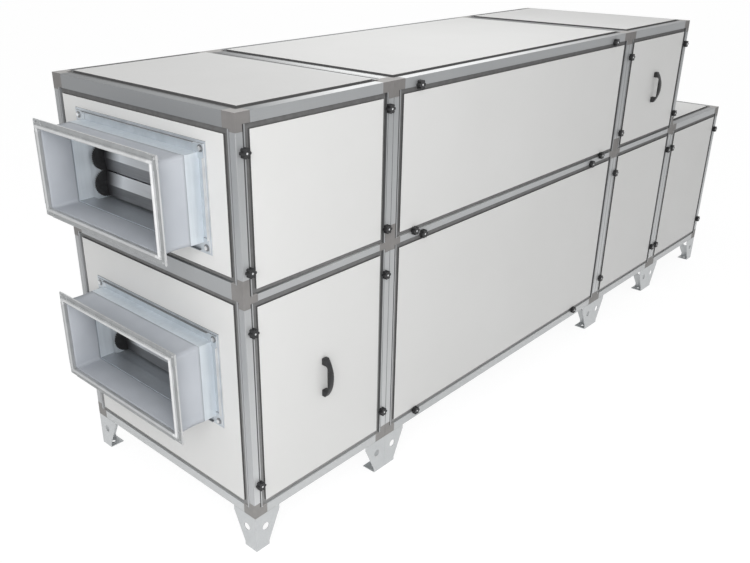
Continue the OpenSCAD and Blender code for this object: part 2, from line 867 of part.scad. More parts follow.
damper_blade(lower_duct_z, 1);  // lower_blade_2
damper_blade(lower_duct_z, 2);  // lower_blade_3
damper_gear(lower_duct_z, 0);  // lower_gear_1
damper_gear(lower_duct_z, 1);  // lower_gear_2
damper_gear(lower_duct_z, 2);  // lower_gear_3
left_base_flange(upper_duct_z);  // upper_base_flange
damper_casing(upper_duct_z);  // upper_damper_casing
left_sleeve(upper_duct_z);  // upper_sleeve
left_duct_flange(upper_duct_z);  // upper_duct_flange
damper_blade(upper_duct_z, 0);  // upper_blade_1
damper_blade(upper_duct_z, 1);  // upper_blade_2
damper_blade(upper_duct_z, 2);  // upper_blade_3
damper_gear(upper_duct_z, 0);  // upper_gear_1
damper_gear(upper_duct_z, 1);  // upper_gear_2
damper_gear(upper_duct_z, 2);  // upper_gear_3
right_flanges();
right_stubs();
right_sleeves();
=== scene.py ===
"""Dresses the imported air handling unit: finishes for every solid, cloth sleeves, bolts and screws."""
import math

import bmesh
import bpy
from mathutils import Matrix, Vector


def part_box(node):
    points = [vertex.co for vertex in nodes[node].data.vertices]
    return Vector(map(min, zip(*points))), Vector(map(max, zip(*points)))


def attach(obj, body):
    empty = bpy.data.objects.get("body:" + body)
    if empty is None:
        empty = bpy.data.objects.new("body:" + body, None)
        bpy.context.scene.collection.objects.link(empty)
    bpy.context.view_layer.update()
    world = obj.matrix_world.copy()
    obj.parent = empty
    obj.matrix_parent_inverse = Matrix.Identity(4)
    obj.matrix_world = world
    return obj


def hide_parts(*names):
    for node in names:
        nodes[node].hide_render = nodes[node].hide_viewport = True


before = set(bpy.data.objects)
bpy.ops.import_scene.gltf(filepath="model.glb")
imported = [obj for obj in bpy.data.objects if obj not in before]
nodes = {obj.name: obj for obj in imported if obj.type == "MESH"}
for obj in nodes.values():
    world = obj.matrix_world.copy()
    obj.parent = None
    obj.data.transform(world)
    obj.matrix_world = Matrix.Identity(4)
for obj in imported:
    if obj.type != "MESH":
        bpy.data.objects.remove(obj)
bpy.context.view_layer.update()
HOUSING = "housing"
MM = 0.001
SAME_PLACE = 1e-6


def middle(box):
    return (Vector(box[0]) + Vector(box[1])) / 2


# Places on the unit, worked out from the frame

PROFILE_W = 36 * MM
MID_RAIL_H = 26 * MM
SECTIONS = {s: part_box(f"frame_{s}") for s in "abcd"}
FRAME_LOW, FRAME_HIGH = SECTIONS["a"]
DECK_Z = SECTIONS["d"][1][2]
JOINTS = [SECTIONS[s][0][0] for s in "bcd"]
DECKS = ("lower", "upper")
RIGHT_END_X = {"lower": SECTIONS["d"][1][0], "upper": SECTIONS["c"][1][0]}

# Edges of the rails where the profiles' tone changes: the pale base rail, the damper end's top rail, which
# takes painted shade, and the back rail, which takes a painted shadow
BASE_RAIL_TOP = FRAME_LOW[2] + PROFILE_W + 0.5 * MM
END_TOP_RAIL = FRAME_HIGH[2] - 50 * MM
END_RAIL_BACK = FRAME_LOW[0] + 58 * MM
BACK_RAIL_Y = FRAME_HIGH[1] - PROFILE_W

# Dark lines that the profiles' finish draws: thin ones at the section joints and along posts and rails, and
# a wider slot beside each joint on the rails' upper faces
LINE_HALF_W = 1.5 * MM
LINE_SHADE = 0.7
JOINT_SHADE = 0.45
POST_LINE_INSET = 31 * MM
POST_LINES = [x for low, high in SECTIONS.values() for x in (low[0] + POST_LINE_INSET, high[0] - PROFILE_W)]
RAIL_LINE_Z = DECK_Z - 35 * MM
SLOT_INSET = 19 * MM
SLOT_HALF_W = 8 * MM
SLOT_SHADE = 0.85

# Where the painted light and shade on the profiles' upper faces change: a length at the damper end, then
# stretches along X and Y
END_FADE = 0.4
FAR_FADE = (-0.6, 0.5)
BACK_FADE = (-0.2, 0.5)

# Heights between which a finish goes from its tone near the floor to its tone near the roof: painted light,
# paler low down and darker high up
PROFILE_HEIGHTS = (0.2, 1.5)
CORNER_HEIGHTS = (0.2, 1.4)
SEAL_HEIGHTS = (0.2, 1.2)

# Axes of the ducts, and the mouth of a duct flange with its rolled bead
LOWER_AXIS = middle(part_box("lower_sleeve"))
UPPER_AXIS = middle(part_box("upper_sleeve"))
BEAD = 11 * MM
FLANGE_RIM = 30 * MM
FLANGE_LOW, FLANGE_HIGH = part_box("lower_duct_flange")
MOUTH_HALF_W, MOUTH_HALF_H = [(FLANGE_HIGH[k] - FLANGE_LOW[k]) / 2 - FLANGE_RIM + BEAD for k in (1, 2)]

# Distances from a blade's gear end between which it grows bright with a painted highlight, and nearer the
# gear grows dark with the gears' painted shadow
BLADE_END_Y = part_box("lower_blade_1")[1][1]
BLADE_HIGHLIGHT = (0.30, 0.12)
GEAR_SHADOW = (0.10, 0.01)


# Camera, floor and light

# The camera is fitted to edges in the photograph: focal length and optical axis are in its pixels
PHOTO_SIZE = (750, 563)
SENSOR_W = 36.0
FOCAL_PX = 820.8
AXIS_PX = (338.3, 289.85)
CAMERA_AT = Vector((-3.409, -2.266, 2.068))
CAMERA_LOOK = Vector((0.66362, 0.62487, -0.41127))
CAMERA_RANGE = 100
FLOOR_HALF_W = 40
WHITE = (1, 1, 1, 1)


def set_camera():
    data = bpy.data.cameras.new("photo_camera")
    data.sensor_width = SENSOR_W
    data.lens = FOCAL_PX / PHOTO_SIZE[0] * SENSOR_W
    data.shift_x = (PHOTO_SIZE[0] / 2 - AXIS_PX[0]) / PHOTO_SIZE[0]
    data.shift_y = (AXIS_PX[1] - PHOTO_SIZE[1] / 2) / PHOTO_SIZE[0]
    data.clip_end = CAMERA_RANGE
    camera = bpy.data.objects.new("photo_camera", data)
    camera.location = CAMERA_AT
    camera.rotation_euler = CAMERA_LOOK.to_track_quat("-Z", "Y").to_euler()
    bpy.context.scene.collection.objects.link(camera)
    bpy.context.scene.camera = camera


def area_light(name, at, target, size, watts):
    """Square soft lamp that the camera doesn't see."""
    data = bpy.data.lights.new(name, "AREA")
    data.shape = "SQUARE"
    data.size = size
    data.energy = watts
    lamp = bpy.data.objects.new(name, data)
    lamp.location = at
    lamp.rotation_euler = (Vector(target) - Vector(at)).to_track_quat("-Z", "Y").to_euler()
    lamp.visible_camera = False
    bpy.context.scene.collection.objects.link(lamp)


def seen_directly(tree):
    """1 for rays that come from the camera, a mirror-like surface or glass, and 0 for the rest."""
    path = tree.nodes.new("ShaderNodeLightPath")
    total = path.outputs["Is Camera Ray"]
    for kind in ("Is Glossy Ray", "Is Transmission Ray"):
        add = tree.nodes.new("ShaderNodeMath")
        add.use_clamp = True
        tree.links.new(total, add.inputs[0])
        tree.links.new(path.outputs[kind], add.inputs[1])
        total = add.outputs[0]
    return total


def set_world(level, backdrop):
    """Even fill light of one level, seen directly as a white backdrop."""
    world = bpy.data.worlds.new("studio")
    bpy.context.scene.world = world
    world.use_nodes = True
    tree = world.node_tree
    fill = tree.nodes["Background"]
    fill.inputs["Color"].default_value = WHITE
    fill.inputs["Strength"].default_value = level
    white = tree.nodes.new("ShaderNodeBackground")
    white.inputs["Color"].default_value = WHITE
    white.inputs["Strength"].default_value = backdrop
    mix = tree.nodes.new("ShaderNodeMixShader")
    tree.links.new(seen_directly(tree), mix.inputs[0])
    tree.links.new(fill.outputs[0], mix.inputs[1])
    tree.links.new(white.outputs[0], mix.inputs[2])
    tree.links.new(mix.outputs[0], tree.nodes["World Output"].inputs["Surface"])


def make_floor(shadow_share, glow_level):
    """Pale floor that is seen as white, with a share of the object's shadow."""
    bm = bmesh.new()
    bmesh.ops.create_grid(bm, x_segments=1, y_segments=1, size=FLOOR_HALF_W)
    mesh = bpy.data.meshes.new("floor")
    bm.to_mesh(mesh)
    bm.free()
    floor = bpy.data.objects.new("floor", mesh)
    bpy.context.scene.collection.objects.link(floor)
    material = bpy.data.materials.new("studio_floor")
    material.use_nodes = True
    tree = material.node_tree
    shader = tree.nodes["Principled BSDF"]
    shader.inputs["Base Color"].default_value = (0.86, 0.86, 0.86, 1)
    shader.inputs["Roughness"].default_value = 0.9
    shader.inputs["Specular IOR Level"].default_value = 0.0
    glow = tree.nodes.new("ShaderNodeEmission")
    glow.inputs["Color"].default_value = WHITE
    glow.inputs["Strength"].default_value = glow_level
    share = tree.nodes.new("ShaderNodeMath")
    share.operation = "MULTIPLY"
    share.inputs[1].default_value = 1 - shadow_share
    tree.links.new(seen_directly(tree), share.inputs[0])
    mix = tree.nodes.new("ShaderNodeMixShader")
    tree.links.new(share.outputs[0], mix.inputs[0])
    tree.links.new(shader.outputs[0], mix.inputs[1])
    tree.links.new(glow.outputs[0], mix.inputs[2])
    tree.links.new(mix.outputs[0], tree.nodes["Material Output"].inputs["Surface"])
    mesh.materials.append(material)


# Shader maths

class Value:
    """A socket that takes Python's operators: each one adds a Math node."""

    def __init__(self, finish, socket):
        self.finish = finish
        self.socket = socket

    def math(self, operation, a, b=0.0):
        return self.finish.node("ShaderNodeMath", {"operation": operation}, {0: a, 1: b})

    def __add__(self, other):
        return self.math("ADD", self, other)

    def __radd__(self, other):
        return self.math("ADD", other, self)

    def __sub__(self, other):
        return self.math("SUBTRACT", self, other)

    def __rsub__(self, other):
        return self.math("SUBTRACT", other, self)

    def __mul__(self, other):
        return self.math("MULTIPLY", self, other)

    def __rmul__(self, other):
        return self.math("MULTIPLY", other, self)

    def __lt__(self, other):
        return self.math("LESS_THAN", self, other)

    def __gt__(self, other):
        return self.math("GREATER_THAN", self, other)

    def __abs__(self):
        return self.math("ABSOLUTE", self)


class Finish:
    """A material on Object coordinates, with its Principled shader and the means to add nodes."""

    def __init__(self, name, **sockets):
        self.material = bpy.data.materials.new(name)
        self.material.use_nodes = True
        self.tree = self.material.node_tree
        self.shader = self.tree.nodes["Principled BSDF"]
        for socket, value in sockets.items():
            self.set(socket.replace("_", " ").title(), value)

    def plug(self, socket, value):
        if isinstance(value, Value):
            self.tree.links.new(value.socket, socket)
        else:
            socket.default_value = value

    def node(self, kind, settings=None, inputs=None, output=0):
        """Adds a node: its settings first, then the values or links of its sockets."""
        made = self.tree.nodes.new(kind)
        for name, value in (settings or {}).items():
            setattr(made, name, value)
        for key, value in (inputs or {}).items():
            self.plug(made.inputs[key], value)
        return Value(self, made.outputs[output])

    def set(self, socket, value):
        names = {"Specular": "Specular IOR Level"}
        self.plug(self.shader.inputs[names.get(socket, socket)], value)

    def place(self, stretch=(1, 1, 1)):
        at = self.node("ShaderNodeTexCoord", output="Object")
        return self.node("ShaderNodeMapping", {}, {"Vector": at, "Scale": stretch})

    def split(self, vector):
        parts = self.node("ShaderNodeSeparateXYZ", {}, {"Vector": vector}).socket.node.outputs
        return [Value(self, part) for part in parts]

    def axes(self):
        return self.split(self.node("ShaderNodeTexCoord", output="Object"))

    def normals(self):
        """How far a face looks along X and Y, on either side, and how far it looks up."""
        x, y, z = self.split(self.node("ShaderNodeTexCoord", output="Normal"))
        return abs(x), abs(y), z

    def noise(self, scale, detail=3, roughness=0.5, stretch=(1, 1, 1)):
        return self.node("ShaderNodeTexNoise", {}, {
            "Vector": self.place(stretch), "Scale": scale, "Detail": detail, "Roughness": roughness})

    def ramp(self, value, low, high):
        """value from low to high, as 0 to 1."""
        return self.node("ShaderNodeMapRange", {}, {
            "Value": value, "From Min": low, "From Max": high})

    def mix(self, factor, a, b):
        return self.node("ShaderNodeMix", {"data_type": "RGBA"}, {0: factor, 6: a, 7: b}, output=2)

    def bump(self, height, depth, strength):
        self.set("Normal", self.node("ShaderNodeBump", {}, {
            "Strength": strength, "Distance": depth, "Height": height}))


def rgb(r, g, b):
    return (r, g, b, 1.0)


# Finishes

LINE_BLACK = rgb(0.05, 0.05, 0.05)
PAINTED_SHADE_SHARE = 0.15


def panel_coat(name, axis, level, painted_shade_to=None):
    """Powder-coated white sheet that faces along one axis, with a dark edge that is partly a gasket and
    partly painted shade of the groove round the panel. Left of the plane across X that its last argument
    gives, it is a little greyer: painted shade."""
    coat = Finish(name, specular=0.35)
    cloud = coat.noise(1.6, detail=4)
    white = coat.mix(coat.ramp(cloud, 0.3, 0.7), rgb(level, level, level - 0.010),
                     rgb(level + 0.025, level + 0.025, level + 0.017))
    # painted shade: a little greyer left of the given plane
    if painted_shade_to is not None:
        white = coat.mix((coat.axes()[0] < painted_shade_to) * PAINTED_SHADE_SHARE, white, rgb(0.30, 0.30, 0.298))
    # dark edge faces: partly a gasket, partly painted shade of the groove round the panel
    gasket_and_groove_shade = coat.mix(coat.noise(60, detail=4), rgb(0.080, 0.080, 0.081), rgb(0.125, 0.124, 0.123))
    coat.set("Base Color", coat.mix(coat.normals()[axis] < 0.6, white, gasket_and_groove_shade))
    coat.set("Roughness", 0.42 + coat.noise(7.0, detail=5) * 0.14)
    coat.bump(coat.noise(520, detail=2), 0.08 * MM, 0.4)
    return coat.material


def painted_top_light(bar, x, y):
    """Tone of the rails' upper faces, which is painted light and shade: painted shade at the damper end and
    the back, a painted highlight along the front that grows duller towards the far end, and a painted shadow
    on the back rails of the short sections, with a dark slot left of each section joint."""
    # painted shade at the damper end, then a painted highlight along the front
    top = bar.mix(bar.ramp(x, END_RAIL_BACK, END_RAIL_BACK + END_FADE),
                  rgb(0.26, 0.27, 0.275), rgb(0.80, 0.81, 0.81))
    # the painted highlight grows duller towards the far end
    top = bar.mix(bar.ramp(x, *FAR_FADE), top, rgb(0.32, 0.325, 0.33))
    # painted shade towards the back
    top = bar.mix(bar.ramp(y, *BACK_FADE), top, rgb(0.17, 0.175, 0.18))
    # painted shadow of the seal's lip on the back rails of the short sections
    beside_long_section = (x < JOINTS[0]) + (x > JOINTS[1])
    top = bar.mix((y > BACK_RAIL_Y) * beside_long_section, top, rgb(0.05, 0.05, 0.052))
    for joint_x in JOINTS:
        slot = abs(x - joint_x + SLOT_INSET) < SLOT_HALF_W
        top = bar.mix(slot * SLOT_SHADE, top, LINE_BLACK)
    return top


def profile_lines(bar, tone, x, z, out):
    """Thin dark lines at the section joints, along the posts and along the top rail of the lower deck."""
    upright = [(at, JOINT_SHADE) for at in JOINTS] + [(at, LINE_SHADE) for at in POST_LINES]
    for line_x, shade in upright:
        tone = bar.mix((abs(x - line_x) < LINE_HALF_W) * shade, tone, LINE_BLACK)
    return bar.mix((abs(z - RAIL_LINE_Z) < LINE_HALF_W) * out * LINE_SHADE, tone, LINE_BLACK)


def drawn_aluminium():
    """Anodised profile with die lines along each bar, over a pale base rail. Its tone holds painted light
    and shade: paler near the floor and duller towards the roof, duller on the faces towards the unit's ends,
    on the damper end's top rail and on the rounded corners, and painted light and shade on the upper faces."""
    bar = Finish("drawn_aluminium", metallic=0.4)
    lines = (bar.noise(260, detail=3, stretch=(1, 1, 0.02)) * 0.5
             + bar.noise(260, detail=3, stretch=(0.02, 1, 1)) * 0.5)
    shade = bar.ramp(lines * 0.5 + bar.noise(3.0, detail=3) * 0.5, 0.3, 0.7)
    x, y, z = bar.axes()
    across, out, up = bar.normals()
    # painted light: paler near the floor, duller towards the roof
    height = bar.ramp(z, *PROFILE_HEIGHTS)
    high = bar.mix(shade, rgb(0.335, 0.345, 0.353), rgb(0.385, 0.395, 0.403))
    face = bar.mix(height, bar.mix(shade, rgb(0.60, 0.61, 0.615), rgb(0.66, 0.67, 0.675)), high)
    end_face_shade = bar.mix(height, bar.mix(shade, rgb(0.47, 0.48, 0.488), rgb(0.52, 0.53, 0.538)), high)
    # painted shade on the faces towards the unit's ends
    tone = bar.mix(bar.ramp(across, 0.2, 0.9), face, end_face_shade)
    # painted shade on the damper end's top rail
    tone = bar.mix((z > END_TOP_RAIL) * across, tone, rgb(0.275, 0.283, 0.290))
    # painted shade on the rounded corners between end and front faces
    tone = bar.mix(across * out * 0.5, tone, rgb(0.16, 0.165, 0.17))
    # painted light and shade on the upper faces
    tone = bar.mix(bar.ramp(up, 0.5, 0.9), tone, painted_top_light(bar, x, y))
    tone = profile_lines(bar, tone, x, z, out)
    base = bar.mix(shade, rgb(0.55, 0.565, 0.57), rgb(0.61, 0.62, 0.625))
    bar.set("Base Color", bar.mix(z < BASE_RAIL_TOP, tone, base))
    bar.set("Roughness", 0.44 + lines * 0.16)
    bar.bump(lines, 0.06 * MM, 0.3)
    return bar.material


def moulded_grey():
    """Grey nylon corner pieces with a fine spark-eroded grain, paler near the floor and darker towards the
    roof, which is painted light, with a painted highlight where they face up.
    """
    grain = Finish("moulded_grey", specular=0.3)
    fleck = grain.noise(900, detail=2)
    cloud = grain.ramp(grain.noise(20, detail=3), 0.3, 0.7)
    # painted light: paler near the floor, darker towards the roof
    height = grain.ramp(grain.axes()[2], *CORNER_HEIGHTS)
    low = grain.mix(cloud, rgb(0.285, 0.278, 0.270), rgb(0.315, 0.307, 0.299))
    high = grain.mix(cloud, rgb(0.205, 0.197, 0.192), rgb(0.230, 0.221, 0.216))
    # painted highlight on the faces that look up
    facing_up = grain.ramp(grain.normals()[2], 0.5, 0.9)
    grain.set("Base Color", grain.mix(facing_up, grain.mix(height, low, high), rgb(0.44, 0.43, 0.42)))
    grain.set("Roughness", 0.55 + fleck * 0.2)
    grain.bump(fleck, 0.2 * MM, 0.4)
    return grain.material


def seal_rubber():
    """Grey sealing rubber, paler near the floor and darker towards the roof: painted light."""
    rubber = Finish("seal_rubber", specular=0.25)
    dust = rubber.noise(45, detail=5)
    cloud = rubber.ramp(dust, 0.35, 0.7)
    # painted light: paler near the floor, darker towards the roof
    height = rubber.ramp(rubber.axes()[2], *SEAL_HEIGHTS)
    low = rubber.mix(cloud, rgb(0.300, 0.300, 0.300), rgb(0.350, 0.350, 0.348))
    high = rubber.mix(cloud, rgb(0.150, 0.150, 0.150), rgb(0.185, 0.185, 0.184))
    rubber.set("Base Color", rubber.mix(height, low, high))
    rubber.set("Roughness", 0.65 + dust * 0.2)
    rubber.bump(rubber.noise(700, detail=2), 0.2 * MM, 0.4)
    return rubber.material


def black_moulding(name, grain_scale, rough):
    """Black glass-filled plastic with a fine grain and scuffs."""
    black = Finish(name, specular=0.4)
    grain = black.noise(grain_scale, detail=2)
    scuff = black.noise(60, detail=6, roughness=0.7)
    black.set("Base Color", black.mix(black.ramp(scuff, 0.45, 0.75),
                                      rgb(0.018, 0.018, 0.019), rgb(0.040, 0.040, 0.042)))
    black.set("Roughness", rough + scuff * 0.15)
    black.bump(grain, 0.2 * MM, 0.5)
    return black.material


def feet_sheet():
    """Galvanised sheet: a fine, low mosaic of zinc crystals, each with its own tone and gloss."""
    zinc = Finish("feet_zinc", metallic=0.6)
    wobble = zinc.noise(14, detail=4)
    cell = zinc.node("ShaderNodeTexVoronoi", {"feature": "F1"}, {
        "Vector": zinc.place(), "Scale": 170.0, "Randomness": 1.0}, output="Color")
    tone = zinc.node("ShaderNodeRGBToBW", {}, {0: cell})
    shade = zinc.ramp(tone * 0.35 + wobble * 0.65, 0.25, 0.75)
    zinc.set("Base Color", zinc.mix(shade, rgb(0.55, 0.565, 0.575), rgb(0.61, 0.625, 0.63)))
    zinc.set("Roughness", 0.42 + tone * 0.08)
    zinc.bump(wobble, 0.4 * MM, 0.1)
    return zinc.material


def duct_axis_z(z):
    """Height of the axis of the duct that a point belongs to."""
    lower, upper = LOWER_AXIS[2], UPPER_AXIS[2]
    return lower + (z > (lower + upper) / 2) * (upper - lower)


def mouth_bead(zinc, tone, cloud):
    """The bead rolled round the mouth, with a painted highlight: palest on its near side and paler along its
    top.
    """
    _, y, z = zinc.axes()
    rise = z - duct_axis_z(z)
    inside = (abs(y - LOWER_AXIS[1]) < MOUTH_HALF_W) * (abs(rise) < MOUTH_HALF_H)
    # painted highlight on the bead's near side and along its top
    bead_highlight = (y < LOWER_AXIS[1] - MOUTH_HALF_W + 2 * BEAD) + (rise > MOUTH_HALF_H - 2 * BEAD) * 0.5
    bead = zinc.mix(bead_highlight, zinc.mix(cloud, rgb(0.48, 0.49, 0.495), rgb(0.55, 0.56, 0.565)),
                    zinc.mix(cloud, rgb(0.68, 0.69, 0.695), rgb(0.76, 0.765, 0.77)))
    return zinc.mix(inside, tone, bead)


def flange_zinc(name, dark, pale, has_mouth):
    """Rolled zinc profile: a face of its own tone with bright lips, whose brightness is a painted highlight.
    A flange with a mouth has a bead round it, and one without is dark where it faces up."""
    zinc = Finish(name, metallic=0.45)
    cloud = zinc.ramp(zinc.noise(26, detail=5), 0.3, 0.7)
    across, _, up = zinc.normals()
    # faces that don't look along X are bright: a painted highlight on the lips
    tone = zinc.mix(across < 0.5, zinc.mix(cloud, rgb(*dark), rgb(*pale)),
                    zinc.mix(cloud, rgb(0.60, 0.61, 0.615), rgb(0.70, 0.71, 0.715)))
    if has_mouth:
        tone = mouth_bead(zinc, tone, cloud)
    else:
        tone = zinc.mix(zinc.ramp(up, 0.5, 0.9), tone, rgb(0.17, 0.175, 0.18))
    zinc.set("Base Color", tone)
    zinc.set("Roughness", 0.36 + cloud * 0.12)
    return zinc.material


def duct_sheet():
    """Bright galvanised casing sheet with rolling streaks up its sides, darker on its floor: painted shade.
    """
    sheet = Finish("duct_sheet", metallic=0.45)
    streak = sheet.noise(70, detail=4, stretch=(1, 1, 0.06))
    cloud = sheet.noise(9, detail=4)
    shade = sheet.ramp(streak * 0.5 + cloud * 0.5, 0.3, 0.7)
    z = sheet.axes()[2]
    # painted shade on the casing's floor
    floor = (sheet.normals()[2] > 0.5) * (z < duct_axis_z(z))
    bright = sheet.mix(shade, rgb(0.69, 0.745, 0.79), rgb(0.83, 0.885, 0.93))
    floor_shade = sheet.mix(shade, rgb(0.34, 0.365, 0.395), rgb(0.42, 0.445, 0.475))
    sheet.set("Base Color", sheet.mix(floor, bright, floor_shade))
    sheet.set("Roughness", 0.34 + streak * 0.16)
    sheet.bump(cloud, 0.4 * MM, 0.1)
    return sheet.material


def mill_blade():
    """Rolled aluminium blade with streaks along its length, with painted light and shade: bright above its
    ridge, dull below, a painted shadow by the gears and a painted highlight brightest a hand's width away
    from them."""
    blade = Finish("mill_blade", metallic=0.6)
    streak = blade.noise(180, detail=4, stretch=(1, 0.03, 1))
    shade = blade.ramp(streak, 0.3, 0.7)
    y = blade.axes()[1]
    # painted highlight a hand's width away from the gears
    painted_highlight = blade.ramp(y, *[BLADE_END_Y - away for away in BLADE_HIGHLIGHT])
    # painted shadow of the gears
    gear_shadow_mask = blade.ramp(y, *[BLADE_END_Y - away for away in GEAR_SHADOW])
    above = blade.mix(shade, rgb(0.50, 0.515, 0.53), rgb(0.60, 0.615, 0.625))
    above = blade.mix(painted_highlight, above, rgb(0.78, 0.79, 0.80))
    below = blade.mix(shade, rgb(0.28, 0.285, 0.295), rgb(0.36, 0.365, 0.375))
    # painted light and shade: lit above the ridge, shaded below
    tone = blade.mix(blade.ramp(blade.normals()[2], -0.1, 0.1), below, above)
    blade.set("Base Color", blade.mix(gear_shadow_mask, tone, rgb(0.07, 0.07, 0.075)))
    blade.set("Roughness", 0.32 + streak * 0.2)
    blade.bump(streak, 0.08 * MM, 0.3)
    return blade.material


def plated_steel(name, dark, pale):
    """Zinc-plated fasteners."""
    steel = Finish(name, metallic=1.0)
    tarnish = steel.noise(220, detail=4)
    steel.set("Base Color", steel.mix(steel.ramp(tarnish, 0.3, 0.7), rgb(*dark), rgb(*pale)))
    steel.set("Roughness", 0.25 + tarnish * 0.2)
    return steel.material


def coated_cloth(name, floor_shade_share):
    """Grey coated cloth: a plain weave under a satin coating, darker where it lies as a floor: painted
    shade.
    """
    cloth = Finish(name, specular=0.3)
    warp = cloth.node("ShaderNodeTexWave", {"wave_type": "BANDS", "bands_direction": "X"}, {
        "Vector": cloth.place(), "Scale": 260.0})
    weft = cloth.node("ShaderNodeTexWave", {"wave_type": "BANDS", "bands_direction": "DIAGONAL"}, {
        "Vector": cloth.place((0, 1, 1)), "Scale": 260.0})
    weave = warp * 0.5 + weft * 0.5
    fold = cloth.noise(6, detail=3)
    tone = cloth.mix(cloth.ramp(fold * 0.8 + weave * 0.2, 0.3, 0.7),
                     rgb(0.47, 0.495, 0.535), rgb(0.54, 0.565, 0.605))
    facing_up = cloth.ramp(cloth.normals()[2], 0.5, 0.9)
    # painted shade on the cloth where it lies as a floor
    cloth.set("Base Color", cloth.mix(facing_up * floor_shade_share, tone, rgb(0.16, 0.17, 0.19)))
    cloth.set("Roughness", 0.5 + weave * 0.12)
    cloth.bump(weave, 0.3 * MM, 0.35)
    return cloth.material


# The CAD nodes' finishes and edges

WELD_GAP = 0.02 * MM
SHARP_EDGE = math.radians(35)


def nodes_with(*words):
    """Names of the CAD nodes that hold one of the words."""
    return [name for name in nodes if any(word in name for word in words)]


def dress(material, names):
    for name in names:
        mesh = nodes[name].data
        mesh.materials.clear()
        mesh.materials.append(material)


def soften(width, names):
    """Rounds the sharp edges of carried-over solids by a small radius."""
    for name in names:
        weld = nodes[name].modifiers.new("weld", "WELD")
        weld.merge_threshold = WELD_GAP
        edge = nodes[name].modifiers.new("soft_edge", "BEVEL")
        edge.width = width
        edge.segments = 2
        edge.limit_method = "ANGLE"
        edge.angle_limit = SHARP_EDGE
        edge.harden_normals = False


# Pieces

def add_piece(name, bm, material, smooth=False):
    """Makes a finished mesh an object that rides on the housing."""
    mesh = bpy.data.meshes.new(name)
    bmesh.ops.recalc_face_normals(bm, faces=bm.faces)
    bm.to_mesh(mesh)
    bm.free()
    for face in mesh.polygons:
        face.use_smooth = smooth
    mesh.materials.append(material)
    piece = bpy.data.objects.new(name, mesh)
    bpy.context.scene.collection.objects.link(piece)
    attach(piece, HOUSING)
    return piece


def facing(at, normal):
    """Matrix that puts a shape drawn up the Z axis at a point, standing out along a normal."""
    return Matrix.Translation(at) @ Vector(normal).to_track_quat("Z", "Y").to_matrix().to_4x4()


def at_right_end(box, face_x):
    """The box of a left-hand connector piece, carried over to the face of a right-hand end."""
    low, high = box
    shift = face_x + FRAME_LOW[0]
    return ((shift - high[0], low[1], low[2]), (shift - low[0], high[1], high[2]))


def add_disc(bm, matrix, radius, low, high, sides, rim, finish=0):
    """Round or polygonal plate from one height to another, with a bevelled upper edge, in one of the
    finishes of its piece."""
    made = bmesh.ops.create_cone(bm, cap_ends=True, segments=sides, radius1=radius, radius2=radius,
                                 depth=high - low)
    verts = made["verts"]
    bmesh.ops.translate(bm, verts=verts, vec=(0, 0, (low + high) / 2))
    edges = [e for e in {e for v in verts for e in v.link_edges}
             if all(abs(v.co.z - high) < SAME_PLACE for v in e.verts)]
    grown = bmesh.ops.bevel(bm, geom=edges, offset=rim, affect="EDGES", segments=2, profile=0.5, material=-1)
    island = [v for v in set(verts) | set(grown["verts"]) if v.is_valid]
    for face in {f for v in island for f in v.link_faces}:
        face.material_index = finish
    bmesh.ops.transform(bm, matrix=matrix, verts=island)


# Screws in the knobs

# The knobs sit on the posts of the short sections, off their panels' ends, and on the rails of the long one
KNOB_INSET = 27 * MM
KNOB_H = 17 * MM
KNOB_RISE = 5 * MM
LONG_ENDS = {"lower": (188 * MM, 250 * MM), "upper": (135 * MM, 162 * MM)}
SHORT_END = {"lower": 81 * MM, "upper": 65 * MM}
NEAR_END = 36 * MM
SCREW_R = 3.5 * MM
SCREW_SUNK = 1 * MM
SCREW_PROUD = 0.6 * MM
SCREW_RIM = 0.4 * MM
SCREW_SIDES = 20


def knob_places():
    """Centres of the knobs' outer faces on the service side, deck by deck."""
    face_y = FRAME_LOW[1] - KNOB_H
    rails = {"lower": (FRAME_LOW[2] + PROFILE_W, DECK_Z - PROFILE_W),
             "upper": (DECK_Z - PROFILE_W + MID_RAIL_H, FRAME_HIGH[2] - PROFILE_W)}
    places = []
    for deck, sections in (("lower", "abcd"), ("upper", "abc")):
        for s in sections:
            left, right = (corner[0] for corner in SECTIONS[s])
            low, high = (corner[2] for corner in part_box(f"front_panel_{deck}_{s}"))
            if s == "b":
                ends = (left + LONG_ENDS[deck][0], right - LONG_ENDS[deck][1])
                places += [(x, face_y, z + KNOB_RISE) for x in ends for z in rails[deck]]
            else:
                right_end = NEAR_END if (deck, s) == ("upper", "a") else SHORT_END[deck]
                for x, end in ((left + KNOB_INSET, SHORT_END[deck]), (right - KNOB_INSET, right_end)):
                    places += [(x, face_y, low + end), (x, face_y, high - end)]
    return [Vector(place) for place in places]


def knob_screws(material):
    bm = bmesh.new()
    for at in knob_places():
        add_disc(bm, facing(at, (0, -1, 0)), SCREW_R, -SCREW_SUNK, SCREW_PROUD, SCREW_SIDES, SCREW_RIM)
    add_piece("knob_screws", bm, material)


# Bolts on the base flanges

BOLT_INSET = 23 * MM
CORNER_PLATE_BACK = 8 * MM
WASHER_R = 12 * MM
WASHER_T = 1.65 * MM
WASHER_RIM = 0.6 * MM
WASHER_SIDES = 24
HEAD_R = 7.5 * MM
HEAD_TOP = 6.75 * MM
HEAD_RIM = 1.2 * MM
HEAD_SIDES = 6


def add_bolt(bm, at, normal):
    """Bright hexagon bolt on a dark washer, whose dark is a painted shadow round the head."""
    matrix = facing(at, normal)
    add_disc(bm, matrix, WASHER_R, 0, WASHER_T, WASHER_SIDES, WASHER_RIM)
    add_disc(bm, matrix, HEAD_R, WASHER_T, HEAD_TOP, HEAD_SIDES, HEAD_RIM, finish=1)


